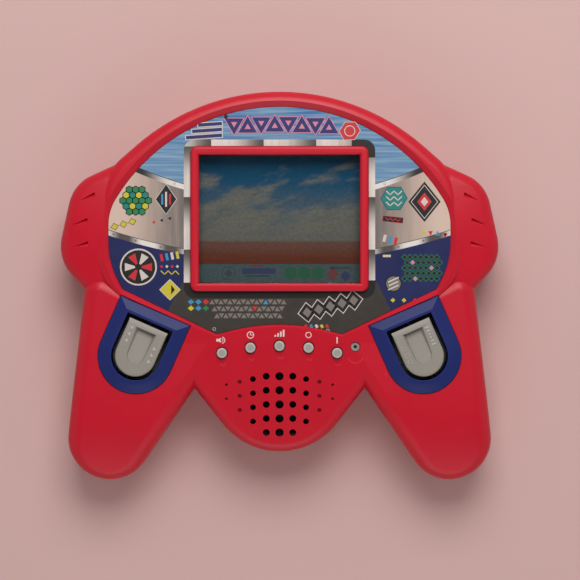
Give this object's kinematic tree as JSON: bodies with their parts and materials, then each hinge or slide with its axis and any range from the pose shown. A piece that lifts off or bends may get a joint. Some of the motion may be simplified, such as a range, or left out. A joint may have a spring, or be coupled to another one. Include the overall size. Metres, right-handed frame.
{
  "type": "handheld electronic game",
  "caption": "Handheld electronic game with a segment screen in a rounded case, two handles with thumb rockers, small function buttons, a sound grille and a battery door.",
  "frame": {"origin": "on the surface under the back, below the middle of the case's outline, with the game lying on its back", "axes": "+Z out of the face, +Y towards the top of the screen, +X to the player's right"},
  "size_m": [0.1594, 0.1412, 0.0322],
  "materials": {
    "red_plastic": "moulded, satin gloss",
    "blue_plastic": "moulded, satin",
    "grey_plastic": "moulded, satin",
    "button_plastic": "moulded, satin",
    "reset_plastic": "moulded",
    "printed_face": "printed film",
    "clear_lens": "clear acrylic",
    "lcd_glass": "clear panel",
    "printed_card": "printed card",
    "white_plastic": "moulded",
    "contact_rubber": "soft",
    "circuit_board": "phenolic board with solder mask",
    "black_resin": "resin",
    "capacitor_sleeve": "shrink sleeve",
    "tinned_metal": "tinned",
    "keypad_rubber": "moulded silicone",
    "cable_plastic": "flat cable",
    "speaker_steel": "plated",
    "magnet_ceramic": "ceramic",
    "speaker_film": "film",
    "lead_plastic": "insulation",
    "cell_sleeve": "printed sleeve, plain",
    "spring_steel": "nickel plated",
    "screw_steel": "zinc plated"
  },
  "bodies": {
    "case": {"front_shell": "red_plastic", "rear_shell": "red_plastic", "faceplate": "printed_face", "screen_lens": "clear_lens", "lcd_glass": "lcd_glass", "lcd_backing_card": "printed_card", "lcd_holder": "white_plastic", "contact_strips": "contact_rubber", "main_board": "circuit_board", "chip_cap": "black_resin", "capacitors": "capacitor_sleeve", "timing_crystal": "tinned_metal", "function_keypad": "keypad_rubber", "left_key_board": "circuit_board", "left_key_mat": "keypad_rubber", "left_flat_cable": "cable_plastic", "left_bezel": "blue_plastic", "right_key_board": "circuit_board", "right_key_mat": "keypad_rubber", "right_flat_cable": "cable_plastic", "right_bezel": "blue_plastic", "speaker_basket": "speaker_steel", "speaker_magnet": "magnet_ceramic", "speaker_cone": "speaker_film", "speaker_leads": "lead_plastic", "upper_battery": "cell_sleeve", "lower_battery": "cell_sleeve", "bridge_contact": "spring_steel", "positive_contact": "spring_steel", "negative_contact": "spring_steel", "case_screws": "screw_steel", "board_screws": "screw_steel", "key_board_screws": "screw_steel"},
    "left_rocker": {"left_rocker": "grey_plastic"},
    "right_rocker": {"right_rocker": "grey_plastic"},
    "sound_button": {"sound_button": "button_plastic"},
    "time_button": {"time_button": "button_plastic"},
    "level_button": {"level_button": "button_plastic"},
    "off_button": {"off_button": "button_plastic"},
    "on_button": {"on_button": "button_plastic"},
    "reset_button": {"reset_button": "reset_plastic"},
    "battery_door": {"battery_door": "red_plastic"}
  },
  "joints": [
    {"name": "left_rocker_tilt", "type": "hinge", "parent": "case", "child": "left_rocker", "pos_m": [-0.0519, -0.0251, 0.0254], "axis": [0.4019, 0.9157, 0], "range_deg": [-6, 6], "stiffness_Nm_per_rad": 0.08, "deforming": ["left_key_mat"]},
    {"name": "right_rocker_tilt", "type": "hinge", "parent": "case", "child": "right_rocker", "pos_m": [0.0519, -0.0251, 0.0254], "axis": [-0.4019, 0.9157, 0], "range_deg": [-6, 6], "stiffness_Nm_per_rad": 0.08, "deforming": ["right_key_mat"]},
    {"name": "sound_press", "type": "slide", "parent": "case", "child": "sound_button", "axis": [0, 0, -1], "range_m": [0, 0.0012], "stiffness_N_per_m": 900, "deforming": ["function_keypad"]},
    {"name": "time_press", "type": "slide", "parent": "case", "child": "time_button", "axis": [0, 0, -1], "range_m": [0, 0.0012], "stiffness_N_per_m": 900, "deforming": ["function_keypad"]},
    {"name": "level_press", "type": "slide", "parent": "case", "child": "level_button", "axis": [0, 0, -1], "range_m": [0, 0.0012], "stiffness_N_per_m": 900, "deforming": ["function_keypad"]},
    {"name": "off_press", "type": "slide", "parent": "case", "child": "off_button", "axis": [0, 0, -1], "range_m": [0, 0.0012], "stiffness_N_per_m": 900, "deforming": ["function_keypad"]},
    {"name": "on_press", "type": "slide", "parent": "case", "child": "on_button", "axis": [0, 0, -1], "range_m": [0, 0.0012], "stiffness_N_per_m": 900, "deforming": ["function_keypad"]},
    {"name": "reset_press", "type": "slide", "parent": "case", "child": "reset_button", "axis": [0, 0, -1], "range_m": [0, 0.0008], "stiffness_N_per_m": 1200, "deforming": ["function_keypad"]},
    {"name": "battery_door_hinge", "type": "hinge", "parent": "case", "child": "battery_door", "pos_m": [0, 0.0349, 0.0003], "axis": [1, 0, 0], "range_deg": [0, 85]}
  ]
}
